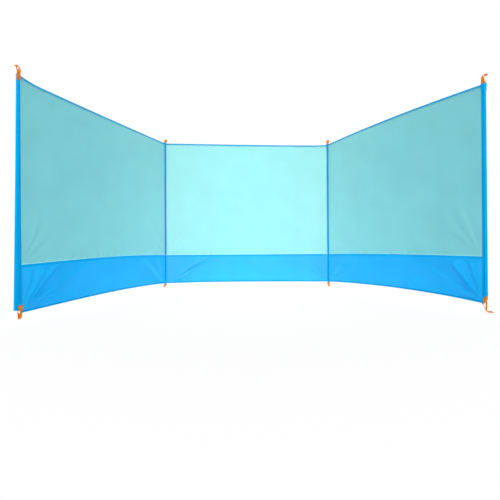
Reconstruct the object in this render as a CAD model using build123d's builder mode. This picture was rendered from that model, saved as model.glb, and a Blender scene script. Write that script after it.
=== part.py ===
from build123d import *

import os
from dataclasses import dataclass
from math import cos, radians, sin

# Beach windbreak of three equal cloth bays on four poles, all sizes in millimetres.
# The middle bay lies in the plane y = 0 and runs along +X from the left middle pole,
# whose foot is the origin. The two wings swing about the middle poles, towards -Y here.

# Bays: each is a sheer upper panel over a skirt
bay_width = 1060.0
bay_height = 900.0
skirt_height = 180.0
cloth = 1.2
sew_gap = 0.3
left_wing_turn = 68.5
right_wing_turn = 68.5

# How far each bay's edges bow at mid-length, up if positive
middle_top_bow = -5.0
middle_bottom_bow = 5.0
left_top_bow = -3.0
left_bottom_bow = 12.0
right_top_bow = 8.0
right_bottom_bow = 16.0

# How far each wing's edges and seam climb towards its end pole
wing_top_climb = -4.0
left_seam_climb = -4.0
left_bottom_climb = -3.0
right_seam_climb = 16.0
right_bottom_climb = 8.0

# The left wing's top edge turns up to its end pole over a last short span
left_top_lift = 7.0
lift_span = 62.0
lift_sag = 1.2

# Cloth folded over an edge: along the top, along the bottom, and where a skirt laps its panel
binding_height = 8.0
lap_height = 9.0
fold_wall = 0.75
fold_gap = 0.25
fold_end_step = 2.2

# Poles and their end caps
pole_radius = 5.5
pole_wall = 1.0
foot_height = 4.0
top_cap_height = 4.0
plug_length = 18.0
plug_clearance = 0.05
cap_edge = 1.0

# Sewn sleeves: an end sleeve is a looser fold of cloth, with more slack towards the ground
sleeve_clearance = 0.3
sleeve_cloth = 1.2
corner_step = 5.0
seam_strip = 4.0
nose_radius = 2.2
nose_share = 1.4
end_sleeve_top_slack = 1.0
left_sleeve_bottom_slack = 8.0
right_sleeve_bottom_slack = 2.0

# An end sleeve's lower end is cut on the slant, higher on its outer side, and its pole ends above
# the webbing's eye. The right one and its pole also end lower at the top.
left_tail_rise = 0.0
left_nose_rise = 11.0
left_foot_rise = 16.0
right_tail_rise = 10.0
right_nose_rise = 40.0
right_foot_rise = 28.0
right_head_drop = 9.0

# Webbing loops at both ends of each pole
webbing_width = 15.0
webbing = 1.2
middle_loop_reach = 26.0
end_loop_top_reach = 46.0
end_loop_bottom_reach = 38.0
end_loop_tab = 20.0
end_loop_tab_share = 0.75

# Levels, from the flat feet up
sleeve_bottom = foot_height
edge_bottom = sleeve_bottom + corner_step
edge_top = edge_bottom + bay_height
sleeve_top = edge_top + corner_step
seam_level = edge_bottom + skirt_height

# Distances from a pole's axis
sleeve_inner = pole_radius + sleeve_clearance
sleeve_outer = sleeve_inner + sleeve_cloth
cloth_start = sleeve_outer + sew_gap

# Half the thickness of a fold, and of the slot in it that the next cloth lies in
fold_half = cloth / 2 + fold_gap + fold_wall
slot_half = cloth / 2 + fold_gap

up = Vector(0, 0, 1)
os.makedirs("parts", exist_ok=True)


@dataclass
class EndSleeve:
    """An end pole's sleeve: its slack at both ends, its slanted lower cut and where its pole ends."""

    top_slack: float
    bottom_slack: float
    tail_rise: float
    nose_rise: float
    foot_rise: float
    head_drop: float

    @property
    def head(self):
        """The level of the sleeve's upper end."""
        return sleeve_top - self.head_drop

    def tail(self, level):
        """How far the seam strip reaches from the pole's axis, towards the bay, at a level."""
        share = (level - sleeve_bottom) / (sleeve_top - sleeve_bottom)
        slack = self.bottom_slack + (self.top_slack - self.bottom_slack) * share
        return sleeve_outer + seam_strip + slack

    def nose(self, level):
        """How far the slack cloth reaches from the pole's axis, away from the bay, at a level."""
        return sleeve_outer + nose_share * (self.tail(level) - sleeve_outer - seam_strip)

    def lower_cut(self):
        """The outline of what the slanted cut takes off, in the bay's upright plane."""
        tail = -2 * self.tail(sleeve_bottom)
        nose = self.nose(sleeve_bottom)
        slope = (self.nose_rise - self.tail_rise) / (nose + self.tail(sleeve_bottom))
        below = sleeve_bottom - self.nose_rise
        with BuildSketch() as outline:
            with BuildLine():
                Polyline(
                    (tail, below),
                    (2 * nose, below),
                    (2 * nose, sleeve_bottom + self.nose_rise + slope * nose),
                    (tail, sleeve_bottom + self.tail_rise + slope * (tail / 2)),
                    close=True,
                )
            make_face()
        return outline.sketch

    def section(self, level, inset):
        """The sleeve's outline at a level, or the hollow in it where inset is the cloth's thickness."""
        tail = self.tail(level)
        nose = self.nose(level)
        with BuildSketch() as outline:
            Circle(sleeve_outer - inset)
            with Locations((nose - nose_radius, 0)):
                Circle(nose_radius - inset)
            with Locations((seam_strip - tail, 0)):
                Circle(sleeve_cloth if inset == 0 else sleeve_clearance)
            make_hull()
            if inset == 0:
                with Locations((seam_strip / 2 - tail, 0)):
                    Rectangle(seam_strip, 2 * sleeve_cloth)
        return outline.sketch


@dataclass
class Course:
    """A line across a bay's cloth, from the near pole to the far one."""

    level: float
    bow: float
    climb: float
    lift: float = 0

    def raised(self, height):
        """The same line, higher up."""
        return Course(self.level + height, self.bow, self.climb, self.lift)


@dataclass
class Bay:
    """One stretch of cloth between two poles."""

    name: str
    corner: Vector
    direction: Vector
    top: Course
    seam: Course
    hem: Course
    end_sleeve: EndSleeve = None

    @property
    def plane(self):
        """The bay's upright plane: x runs along the bay from the corner, y runs up."""
        return Plane(origin=self.corner, x_dir=self.direction, z_dir=self.direction.cross(up))

    def end(self, level):
        """Where the cloth ends at a level, just short of the far sleeve."""
        if self.end_sleeve is None:
            return bay_width - cloth_start
        return bay_width - self.end_sleeve.tail(level) - sew_gap

    def field(self, lower, upper):
        """A face of the bay's cloth between two courses."""
        near_low = Vector(cloth_start, lower.level)
        far_low = Vector(self.end(lower.level + lower.climb), lower.level + lower.climb)
        near_high = Vector(cloth_start, upper.level)
        far_high = Vector(self.end(upper.level + upper.climb), upper.level + upper.climb)
        with BuildSketch() as face:
            with BuildLine():
                course_line(near_low, far_low, lower.bow)
                Line(far_low, far_high)
                course_line(far_high, near_high, upper.bow)
                Line(near_high, near_low)
            make_face()
            if upper.lift:
                add(self.upturn(upper, far_high))
            if lower.lift:
                add(self.upturn(lower, far_low), mode=Mode.SUBTRACT)
        return face.sketch

    def upturn(self, course, far):
        """The sliver by which a course turns up to the far pole over its last span."""
        share = 1 - lift_span / bay_width
        bow = 4 * course.bow * share * (1 - share)
        near = Vector(far.X - lift_span, course.level + course.climb * share + bow)
        high = far + Vector(0, course.lift)
        under = near - Vector(0, 2 * lift_sag)
        low = far - Vector(0, 2 * lift_sag)
        with BuildSketch() as sliver:
            with BuildLine():
                ThreePointArc(near, (near + high) / 2 - Vector(0, lift_sag), high)
                Polyline(high, low, under, near)
            make_face()
        return sliver.sketch

    def fold(self, lower, upper):
        """The face of a folded strip, cut short where a wing's strip has to pass the next bay's."""
        height = 4 * (upper.level - lower.level) + 4 * abs(upper.bow)
        with BuildSketch() as face:
            add(self.field(lower, upper))
            ends = [cloth_start] if self.end_sleeve else [cloth_start, self.end(upper.level)]
            for end in ends:
                with Locations((end, upper.level)):
                    Rectangle(2 * fold_end_step, height, mode=Mode.SUBTRACT)
        return face.sketch


def course_line(start, end, bow):
    """A straight edge, or an arc that bows up at mid-length."""
    if bow == 0:
        Line(start, end)
    else:
        ThreePointArc(start, (start + end) / 2 + Vector(0, bow), end)


def level_plane(foot, direction, level):
    """A level plane over a pole's foot, with x along the bay."""
    return Plane(origin=foot + up * level, x_dir=direction, z_dir=up)


def finish(builder, name):
    """Label a finished piece and write it."""
    builder.part.label = name
    export_step(builder.part, f"parts/{name}.step")


def make_folded_edge(bay, name, outer, inward):
    """A strip folded over a bay's top or bottom edge; inward is -1 below the top and 1 above the hem."""
    inner = outer.raised(inward * binding_height)
    slot = outer.raised(inward * fold_wall)
    with BuildPart() as strip:
        with BuildSketch(bay.plane):
            add(bay.fold(*sorted((outer, inner), key=lambda course: course.level)))
        extrude(amount=fold_half, both=True)
        with BuildSketch(bay.plane):
            add(bay.field(*sorted((slot, inner.raised(inward)), key=lambda course: course.level)))
        extrude(amount=slot_half, both=True, mode=Mode.SUBTRACT)
    finish(strip, f"{bay.name}_{name}")


def make_upper_panel(bay):
    """The sheer panel, from inside the skirt's lap to inside the top binding."""
    foot_of_lap = bay.seam.raised(fold_wall + fold_gap - lap_height)
    with BuildPart() as panel:
        with BuildSketch(bay.plane):
            add(bay.field(foot_of_lap, bay.top.raised(-fold_wall - fold_gap)))
        extrude(amount=cloth / 2, both=True)
    finish(panel, f"{bay.name}_upper_panel")


def make_skirt(bay):
    """The skirt, whose upper edge forks into a lap on both faces of the sheer panel."""
    lap = bay.seam.raised(-lap_height)
    with BuildPart() as skirt:
        with BuildSketch(bay.plane):
            add(bay.field(bay.hem.raised(fold_wall + fold_gap), lap.raised(fold_wall)))
        extrude(amount=cloth / 2, both=True)
        with BuildSketch(bay.plane):
            add(bay.fold(lap, bay.seam))
        extrude(amount=fold_half, both=True)
        with BuildSketch(bay.plane):
            add(bay.field(lap.raised(fold_wall), bay.seam.raised(lap_height)))
        extrude(amount=slot_half, both=True, mode=Mode.SUBTRACT)
    finish(skirt, f"{bay.name}_skirt")


def make_pole(name, foot, direction, foot_rise, head):
    """A steel tube with a plugged foot and a plugged top cap that stands just proud of the sleeve's head."""
    bore = pole_radius - pole_wall
    tube_low = foot_rise + foot_height
    tube_high = head - top_cap_height / 2
    with BuildPart() as tube:
        with BuildSketch(level_plane(foot, direction, tube_low)):
            Circle(pole_radius)
            Circle(bore, mode=Mode.SUBTRACT)
        extrude(amount=tube_high - tube_low)
    finish(tube, f"{name}_pole")
    ends = (("foot", tube_low, foot_height, 1), ("top_cap", tube_high, top_cap_height, -1))
    for end_name, tube_end, height, inward in ends:
        with BuildPart() as plug:
            with BuildSketch(level_plane(foot, direction, tube_end)):
                Circle(pole_radius)
            extrude(amount=-inward * height)
            rims = plug.edges().sort_by(Axis.Z)
            chamfer(rims[0] if inward > 0 else rims[-1], cap_edge)
            with BuildSketch(level_plane(foot, direction, tube_end)):
                Circle(bore - plug_clearance)
            extrude(amount=inward * plug_length)
        finish(plug, f"{name}_{end_name}")


def make_round_sleeve(name, foot, direction):
    """A tube of cloth close round a middle pole, which both neighbouring bays are sewn to."""
    with BuildPart() as sleeve:
        with BuildSketch(level_plane(foot, direction, sleeve_bottom)):
            Circle(sleeve_outer)
            Circle(sleeve_inner, mode=Mode.SUBTRACT)
        extrude(amount=sleeve_top - sleeve_bottom)
    finish(sleeve, f"{name}_sleeve")


def make_end_sleeve(name, foot, direction, end_sleeve):
    """A fold of cloth round an end pole, closed by a flat seam strip on the bay's side."""
    with BuildPart() as sleeve:
        for level in (sleeve_bottom, end_sleeve.head):
            with BuildSketch(level_plane(foot, direction, level)):
                add(end_sleeve.section(level, 0))
        loft()
        for level in (sleeve_bottom, end_sleeve.head):
            with BuildSketch(level_plane(foot, direction, level)):
                add(end_sleeve.section(level, sleeve_cloth))
        loft(mode=Mode.SUBTRACT)
        with BuildSketch(Plane(origin=foot, x_dir=direction, z_dir=direction.cross(up))):
            add(end_sleeve.lower_cut())
        extrude(amount=2 * sleeve_outer, both=True, mode=Mode.SUBTRACT)
    finish(sleeve, f"{name}_sleeve")


def make_loop(name, foot, direction, level, away, half_gap, reach, tab):
    """Webbing folded double: two legs past the pole's end, closed by a round bend beyond it."""
    half = half_gap + webbing
    leg_end = reach - half
    upright = Plane(origin=foot + up * level, x_dir=direction.cross(up), z_dir=direction * -away)
    with BuildPart() as loop:
        with BuildSketch(upright):
            with Locations((0, leg_end)):
                Circle(half)
            with Locations((0, (leg_end - tab) / 2)):
                Rectangle(2 * half, leg_end + tab)
            with Locations((0, leg_end)):
                Circle(half_gap, mode=Mode.SUBTRACT)
            with Locations((0, (leg_end - tab) / 2)):
                Rectangle(2 * half_gap, leg_end + tab, mode=Mode.SUBTRACT)
        extrude(amount=webbing_width / 2, both=True)
    finish(loop, name)


along_middle = Vector(1, 0, 0)
along_left = Vector(-cos(radians(left_wing_turn)), -sin(radians(left_wing_turn)), 0)
along_right = Vector(cos(radians(right_wing_turn)), -sin(radians(right_wing_turn)), 0)
left_corner = Vector(0, 0, 0)
right_corner = Vector(bay_width, 0, 0)
left_end_sleeve = EndSleeve(
    end_sleeve_top_slack,
    left_sleeve_bottom_slack,
    left_tail_rise,
    left_nose_rise,
    left_foot_rise,
    0,
)
right_end_sleeve = EndSleeve(
    end_sleeve_top_slack,
    right_sleeve_bottom_slack,
    right_tail_rise,
    right_nose_rise,
    right_foot_rise,
    right_head_drop,
)

bays = (
    Bay(
        "middle_bay",
        left_corner,
        along_middle,
        Course(edge_top, middle_top_bow, 0),
        Course(seam_level, 0, 0),
        Course(edge_bottom, middle_bottom_bow, 0),
    ),
    Bay(
        "left_wing",
        left_corner,
        along_left,
        Course(edge_top, left_top_bow, wing_top_climb, left_top_lift),
        Course(seam_level, 0, left_seam_climb),
        Course(edge_bottom, left_bottom_bow, left_bottom_climb),
        left_end_sleeve,
    ),
    Bay(
        "right_wing",
        right_corner,
        along_right,
        Course(edge_top, right_top_bow, wing_top_climb),
        Course(seam_level, 0, right_seam_climb),
        Course(edge_bottom, right_bottom_bow, right_bottom_climb),
        right_end_sleeve,
    ),
)
for bay in bays:
    make_folded_edge(bay, "top_binding", bay.top, -1)
    make_folded_edge(bay, "bottom_hem", bay.hem, 1)
    make_upper_panel(bay)
    make_skirt(bay)

for pole_name, pole_foot in (("left_middle", left_corner), ("right_middle", right_corner)):
    make_pole(pole_name, pole_foot, along_middle, 0, sleeve_top)
    make_round_sleeve(pole_name, pole_foot, along_middle)
    for end_name, end_level, away in (("top", sleeve_top, 1), ("bottom", sleeve_bottom, -1)):
        loop_name = f"{pole_name}_{end_name}_loop"
        loop_level = end_level + away * sew_gap
        make_loop(loop_name, pole_foot, along_middle, loop_level, away, sleeve_inner, middle_loop_reach, 0)

for pole_name, corner, outward, end_sleeve in (
    ("left_end", left_corner, along_left, left_end_sleeve),
    ("right_end", right_corner, along_right, right_end_sleeve),
):
    pole_foot = corner + outward * bay_width
    make_pole(pole_name, pole_foot, outward, end_sleeve.foot_rise, end_sleeve.head)
    make_end_sleeve(pole_name, pole_foot, outward, end_sleeve)
    bottom_tab = end_loop_tab + end_loop_tab_share * end_sleeve.nose_rise
    for end_name, end_level, away, reach, tab in (
        ("top", end_sleeve.head, 1, end_loop_top_reach, end_loop_tab),
        ("bottom", sleeve_bottom, -1, end_loop_bottom_reach, bottom_tab),
    ):
        loop_name = f"{pole_name}_{end_name}_loop"
        half_gap = sleeve_outer + sew_gap
        make_loop(loop_name, pole_foot, outward, end_level, away, half_gap, reach, tab)
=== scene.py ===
"""Looks of the beach windbreak: cloth, webbing, poles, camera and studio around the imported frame."""

import logging
import math
from collections.abc import Callable, Iterable
from dataclasses import dataclass, replace
from enum import Enum

import bmesh
import bpy
from bpy.types import Material, Node, NodeSocket, NodeTree, Object
from mathutils import Matrix, Vector, noise


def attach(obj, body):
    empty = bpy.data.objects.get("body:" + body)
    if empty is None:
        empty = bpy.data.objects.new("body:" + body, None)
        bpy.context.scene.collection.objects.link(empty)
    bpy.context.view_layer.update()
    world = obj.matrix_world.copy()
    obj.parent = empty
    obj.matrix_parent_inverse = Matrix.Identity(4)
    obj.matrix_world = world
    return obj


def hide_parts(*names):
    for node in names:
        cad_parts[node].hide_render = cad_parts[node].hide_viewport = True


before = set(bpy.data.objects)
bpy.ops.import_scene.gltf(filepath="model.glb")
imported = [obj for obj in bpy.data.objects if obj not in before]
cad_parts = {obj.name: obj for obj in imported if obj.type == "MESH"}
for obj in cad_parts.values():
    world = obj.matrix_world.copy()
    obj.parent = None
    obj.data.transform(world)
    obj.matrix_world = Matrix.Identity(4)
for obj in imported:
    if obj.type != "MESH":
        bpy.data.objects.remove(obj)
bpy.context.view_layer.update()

log = logging.getLogger("windbreak")

# Sizes are in millimetres, as in the part's source. Blender's own unit is the metre.
MM = 0.001
UP = Vector((0.0, 0.0, 1.0))

BAY_WIDTH = 1060.0
WING_TURN = math.radians(68.5)
HEM_LEVEL = 9.0
SEAM_LEVEL = 189.0
TOP_LEVEL = 909.0
SLEEVE_BOTTOM = 4.0
SLEEVE_TOP = 914.0
SLEEVE_RADIUS = 7.0
# Round an end sleeve, and how far the cloth's own map goes round every sleeve
SLEEVE_GIRTH = 60.0

# From a middle pole's axis to the cloth, and to the folded edges
CLOTH_NEAR = 7.15
FOLD_NEAR = 9.6
# From the cloth to an end sleeve's seam strip, and how far the panels go into the strip
SEW_GAP = 0.3
INTO_STRIP = 3.0
# Heights of the lap and of the other folded edges
LAP_HEIGHT = 9.0
EDGE_HEIGHT = 6.4
# From a folded edge to the panel inside it, and from the seam down to both panels' edges inside the lap
EDGE_TUCK = 1.2
SHEER_TUCK = 7.0
SKIRT_TUCK = 7.6
# Half the thickness of cloth folded over itself
HALF_FOLD = 0.95
SHEER_THICKNESS = 0.45
CLOTH_THICKNESS = 0.5
BAND_THICKNESS = 0.4
# Bands at the sleeves' ends: their height, and how far they stand out from the sleeve
BAND_HEIGHT = 8.0
BAND_PROUD = 0.45

# A stitch is 3.2 mm long and has three stations, of which one dips into the cloth
STITCH_STATION = 1.07
STATIONS_PER_STITCH = 3
THREAD_SIDES = 4

# The rounding of the webbing's edges
EDGE_ROUNDING = 0.35

UV_NAME = "cloth"
# Wave textures of scale 1 repeat every 0.314 m along an axis and every 0.44 m along a diagonal
AXIS_WAVE = 0.314
DIAGONAL_WAVE = 0.44

# A point in millimetres with its place on the cloth, and a thread's points with their outward directions
Placed = tuple[Vector, tuple[float, float]]
ThreadRow = list[tuple[Vector, Vector]]


class End(Enum):
    """An end of a pole, with its sign along the pole."""

    TOP = 1
    BOTTOM = -1


class Slot(Enum):
    """The record's material slots for the pieces that are made here."""

    SHEER = "sheer_cloth"
    SKIRT = "skirt_cloth"
    EDGE = "edge_cloth"
    SLEEVE = "sleeve_cloth"
    WEBBING = "webbing"


def smooth(low: float, high: float, value: float) -> float:
    """A smooth step: 0 below low, 1 above high, and an even curve between."""
    t = min(1.0, max(0.0, (value - low) / (high - low)))
    return t * t * (3.0 - 2.0 * t)


def between(rows: tuple[tuple[float, float], ...], value: float) -> float:
    """Reads rows of a place and a height, with soft curves between them.

    Args:
        rows: The rows in order of place.
        value: The place to read at.

    Returns:
        The height there, and 0 outside the rows.
    """
    for (a, low), (b, high) in zip(rows, rows[1:]):
        if a <= value <= b:
            return low + (high - low) * smooth(a, b, value)
    return 0.0


def linear(code: str) -> tuple[float, float, float, float]:
    """Turns an sRGB hex colour, such as "#0AB0F7", to linear red, green and blue with an alpha of 1."""
    parts = [int(code[i:i + 2], 16) / 255 for i in (1, 3, 5)]
    return *(p / 12.92 if p <= 0.04045 else ((p + 0.055) / 1.055) ** 2.4 for p in parts), 1.0


def add_node(tree: NodeTree, kind: str, inputs: dict | None = None, **settings) -> Node:
    """Adds a node with its settings and links.

    Args:
        tree: The node tree.
        kind: The shader node's type, such as "Bump".
        inputs: Socket names or numbers, each with a value or with the output that feeds it.
        **settings: The node's own properties.

    Returns:
        The node.
    """
    made = tree.nodes.new(f"ShaderNode{kind}")
    for name, value in settings.items():
        setattr(made, name, value)
    for key, value in (inputs or {}).items():
        if isinstance(value, NodeSocket):
            tree.links.new(value, made.inputs[key])
        else:
            made.inputs[key].default_value = value
    return made


def new_tree(name: str) -> tuple[Material, NodeTree]:
    """Makes a material with an empty node tree.

    Args:
        name: The material's name.

    Returns:
        The material and its tree.
    """
    material = bpy.data.materials.new(name)
    material.use_nodes = True
    material.node_tree.nodes.clear()
    return material, material.node_tree


@dataclass(frozen=True)
class WovenCloth:
    """Plain-woven polyester.

    The eye gets a fine square weave, a slight unevenness of dye, a soft sheen in the cloth's own
    colour, and paler light that comes through from behind. Threads are 0.3 mm apart, and are drawn
    at 1.5 mm, so that they show.

    Attributes:
        name: The material's name.
        lit: The colour of light that the cloth throws back.
        through: The colour of light that comes through it.
        sheer: The share of the light that comes through.
        specular: How strong its shine is.
        sheen: How much its fibres catch grazing light.
        uneven: How far its tone wanders.
        roughness: How dull its shine is.
        thread: The spacing of its threads in millimetres.
        weave: How deep the weave looks.
        band: Where the cloth is doubled, as heights above the seam in millimetres.
        band_colours: What its two colours are there.
    """

    name: str
    lit: str
    through: str
    sheer: float
    specular: float = 0.1
    sheen: float = 0.02
    uneven: float = 0.04
    roughness: float = 0.5
    thread: float = 1.5
    weave: float = 0.25
    band: tuple[float, float] = (0.0, 0.0)
    band_colours: tuple[str, str] = ("", "")

    def toned(self, tree: NodeTree, height: NodeSocket, tone: NodeSocket, index: int) -> NodeSocket:
        """Gives one of the two colours in the cloth's own tone, with its band.

        Args:
            tree: The node tree.
            height: The height above the seam.
            tone: What the colour is multiplied by.
            index: 0 for the lit colour and 1 for the other.

        Returns:
            The colour.
        """
        plain, doubled = (self.lit, self.through)[index], self.band_colours[index]
        colour = linear(plain)[:3]
        if doubled:
            low, high = (
                add_node(tree, "Math", {0: height, 1: edge * MM}, operation=operation).outputs[0]
                for edge, operation in zip(self.band, ("GREATER_THAN", "LESS_THAN"))
            )
            inside = add_node(tree, "Math", {0: low, 1: high}, operation="MULTIPLY").outputs[0]
            sides = {0: inside, 6: linear(plain), 7: linear(doubled)}
            colour = add_node(tree, "Mix", sides, data_type="RGBA").outputs[2]
        return add_node(tree, "VectorMath", {0: colour, "Scale": tone}, operation="SCALE").outputs[0]

    def build(self) -> Material:
        """Builds the material.

        Returns:
            A Principled surface mixed with a Translucent one.
        """
        material, tree = new_tree(self.name)
        uv = add_node(tree, "UVMap", uv_map=UV_NAME).outputs[0]
        height = add_node(tree, "SeparateXYZ", {0: uv}).outputs[1]
        wave = {"Vector": uv, "Scale": AXIS_WAVE / (self.thread * MM), "Distortion": 0.0}
        warp, weft = (
            add_node(tree, "TexWave", wave, wave_type="BANDS", bands_direction=axis).outputs["Fac"]
            for axis in ("X", "Y")
        )
        weave = add_node(tree, "Math", {0: warp, 1: weft}, operation="MULTIPLY").outputs[0]
        slubs = {"Vector": uv, "Scale": 9.0, "Detail": 3.0, "Roughness": 0.45}
        slub = add_node(tree, "TexNoise", slubs).outputs[0]
        wander = {"Value": slub, 1: 0.3, 2: 0.7, 3: 1.0 - self.uneven, 4: 1.0 + self.uneven}
        dyed = add_node(tree, "MapRange", wander).outputs[0]
        crossed = add_node(tree, "MapRange", {"Value": weave, 1: 0.0, 2: 1.0, 3: 0.96, 4: 1.10})
        tone = add_node(tree, "Math", {0: dyed, 1: crossed.outputs[0]}, operation="MULTIPLY").outputs[0]
        lit, through = (self.toned(tree, height, tone, index) for index in (0, 1))
        bump = add_node(tree, "Bump", {"Height": weave, "Strength": self.weave, "Distance": 0.3 * MM})
        face = add_node(tree, "BsdfPrincipled", {
            "Base Color": lit,
            "Roughness": self.roughness,
            "Specular IOR Level": self.specular,
            "Specular Tint": linear(self.lit),
            "Sheen Weight": self.sheen,
            "Sheen Roughness": 0.4,
            "Sheen Tint": linear(self.lit),
            "Normal": bump.outputs[0],
        })
        behind = add_node(tree, "BsdfTranslucent", {"Color": through, "Normal": bump.outputs[0]})
        halves = {0: self.sheer, 1: face.outputs[0], 2: behind.outputs[0]}
        mixed = add_node(tree, "MixShader", halves)
        add_node(tree, "OutputMaterial", {"Surface": mixed.outputs[0]})
        return material


@dataclass(frozen=True)
class RibbedWebbing:
    """Flat woven polypropylene webbing.

    The eye gets slanting rows of coarse yarn, a firm edge on both sides and a dull waxy shine.
    The ribs are 1.4 mm apart. The colour is painted shade: darker in the grooves between the ribs and lighter
    on their crests.
    """

    name: str
    colour: str
    rib_groove_shade_colour: str
    yarn: float = 1.4

    def build(self) -> Material:
        """Builds the material.

        Returns:
            A Principled surface with herringbone ribs that follow the strip's own map.
        """
        material, tree = new_tree(self.name)
        uv = add_node(tree, "UVMap", uv_map=UV_NAME)
        along, across, _ = add_node(tree, "SeparateXYZ", {0: uv.outputs[0]}).outputs
        side = add_node(tree, "Math", {0: across}, operation="ABSOLUTE")
        slant = add_node(tree, "CombineXYZ", {0: along, 1: side.outputs[0]})
        pair = 2.0 * self.yarn * MM
        wave = {"Vector": slant.outputs[0], "Scale": DIAGONAL_WAVE / pair, "Distortion": 0.4}
        ribs = add_node(tree, "TexWave", wave, wave_type="BANDS", bands_direction="DIAGONAL")
        rib = ribs.outputs["Fac"]
        # Painted shade: the colour is darker in the rib grooves, where the bump is low, and lighter on the
        # crests.
        rib_shading = {0: rib, 6: linear(self.rib_groove_shade_colour), 7: linear(self.colour)}
        colour = add_node(tree, "Mix", rib_shading, data_type="RGBA")
        bump = add_node(tree, "Bump", {"Height": rib, "Strength": 0.5, "Distance": 0.4 * MM})
        face = add_node(tree, "BsdfPrincipled", {
            "Base Color": colour.outputs[2],
            "Roughness": 0.55,
            "Specular IOR Level": 0.2,
            "Specular Tint": linear(self.colour),
            "Sheen Weight": 0.06,
            "Sheen Roughness": 0.5,
            "Sheen Tint": linear(self.colour),
            "Normal": bump.outputs[0],
        })
        add_node(tree, "OutputMaterial", {"Surface": face.outputs[0]})
        return material


@dataclass(frozen=True)
class GrainedSurface:
    """Moulded plastic, powder-coated steel or bonded thread.

    The eye gets an even colour, slightly clouded, with a fine orange-peel grain.

    Its grain and the grain's depth are in millimetres.
    """

    name: str
    colour: str
    cloud_colour: str
    roughness: float
    specular: float
    grain: float
    depth: float

    def build(self) -> Material:
        """Builds the material.

        Returns:
            A Principled surface with a grain.
        """
        material, tree = new_tree(self.name)
        place = add_node(tree, "TexCoord").outputs["Object"]
        grain, cloud = (
            add_node(tree, "TexNoise", {"Vector": place, "Scale": scale, "Detail": 2.0}).outputs[0]
            for scale in (1.0 / (self.grain * MM), 60.0)
        )
        clouded = {0: cloud, 6: linear(self.colour), 7: linear(self.cloud_colour)}
        colour = add_node(tree, "Mix", clouded, data_type="RGBA")
        bump = add_node(tree, "Bump", {"Height": grain, "Strength": 0.4, "Distance": self.depth * MM})
        face = add_node(tree, "BsdfPrincipled", {
            "Base Color": colour.outputs[2],
            "Roughness": self.roughness,
            "Specular IOR Level": self.specular,
            "Normal": bump.outputs[0],
        })
        add_node(tree, "OutputMaterial", {"Surface": face.outputs[0]})
        return material


class Finish(Enum):
    """Every finish of the windbreak, built when it is first used."""

    SHEER = WovenCloth(
        "sheer_polyester", "#76CDD9", "#DEE8DA", 0.30, sheen=0.03, uneven=0.02,
        band=(0.0, 4.0), band_colours=("#9CE8E8", "#F6FBEE"),
    )
    SKIRT = WovenCloth("bright_polyester", "#00B3F7", "#DCD0D8", 0.16, specular=0.06, sheen=0.01)
    LAP = WovenCloth("lapped_polyester", "#00ACF0", "#E0CCD8", 0.13, specular=0.06, sheen=0.01)
    BINDING = WovenCloth("bound_polyester", "#16A0DC", "#88C4E8", 0.02)
    HEM = WovenCloth("hemmed_polyester", "#0094D4", "#88C8F0", 0.02)
    SLEEVE = WovenCloth("doubled_polyester", "#009AD8", "#88C8F4", 0.03)
    # The webbing's second colour is painted shade for the grooves between its ribs.
    WEBBING = RibbedWebbing("ribbed_webbing", "#E98000", "#CE6C00")
    STEEL = GrainedSurface("powder_coated_steel", "#3A3C40", "#45474B", 0.42, 0.5, 0.5, 0.03)
    CAP = GrainedSurface("moulded_plastic", "#0C0C0D", "#17171A", 0.5, 0.4, 0.4, 0.04)
    BLUE_THREAD = GrainedSurface("blue_thread", "#0A86C8", "#2FA6E2", 0.6, 0.3, 0.3, 0.05)
    ORANGE_THREAD = GrainedSurface("orange_thread", "#C65E00", "#E07A10", 0.6, 0.3, 0.3, 0.05)

    @property
    def material(self) -> Material:
        """The finish's material."""
        return bpy.data.materials.get(self.value.name) or self.value.build()


def link(bm: bmesh.types.BMesh, name: str, material: Material) -> Object:
    """Turns a bmesh into a smooth-shaded object at the origin.

    Args:
        bm: The mesh, freed afterwards.
        name: The piece's name.
        material: Its finish.

    Returns:
        The object.
    """
    mesh = bpy.data.meshes.new(name)
    for face in bm.faces:
        face.smooth = True
    bm.to_mesh(mesh)
    bm.free()
    mesh.materials.append(material)
    piece = bpy.data.objects.new(name, mesh)
    bpy.context.scene.collection.objects.link(piece)
    return piece


def enrol(piece: Object, body: str, slot: Slot, *stands_for: str) -> Object:
    """Gives a piece its body and hides the CAD nodes it stands for.

    Args:
        piece: The finished piece.
        body: The CAD body it moves with.
        slot: The record's slot; not used.
        *stands_for: The CAD nodes it replaces.

    Returns:
        The piece.
    """
    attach(piece, body)
    if stands_for:
        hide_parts(*stands_for)
    log.info("%s rides on %s, %d faces", piece.name, body, len(piece.data.polygons))
    return piece


def woven_sheet(
    name: str,
    cells: tuple[int, int],
    place: Callable[[float, float], Placed],
    finish: Finish,
    thickness: float,
    closed: bool = False,
) -> Object:
    """Makes a sheet of cloth from a grid, with its thickness as a modifier.

    Args:
        name: The piece's name.
        cells: Cells along the sheet and across it.
        place: Gives a point in millimetres and its place on the cloth, from two shares of the grid.
        finish: Its finish.
        thickness: The cloth's thickness in millimetres.
        closed: Whether the grid's two long edges meet, as in a tube.

    Returns:
        The object.
    """
    bm = bmesh.new()
    cloth_map = bm.loops.layers.uv.new(UV_NAME)
    bmesh.ops.create_grid(bm, x_segments=cells[0], y_segments=cells[1], size=0.5)
    places = {}
    for vert in bm.verts:
        point, spot = place(vert.co.x + 0.5, vert.co.y + 0.5)
        vert.co = point * MM
        places[vert] = spot
    for face in bm.faces:
        for loop in face.loops:
            loop[cloth_map].uv = [c * MM for c in places[loop.vert]]
    if closed:
        bmesh.ops.remove_doubles(bm, verts=bm.verts, dist=1e-6)
        bmesh.ops.recalc_face_normals(bm, faces=bm.faces)
    piece = link(bm, name, finish.material)
    shell = piece.modifiers.new("cloth", "SOLIDIFY")
    shell.thickness = thickness * MM
    shell.offset = 0.0
    return piece


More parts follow.
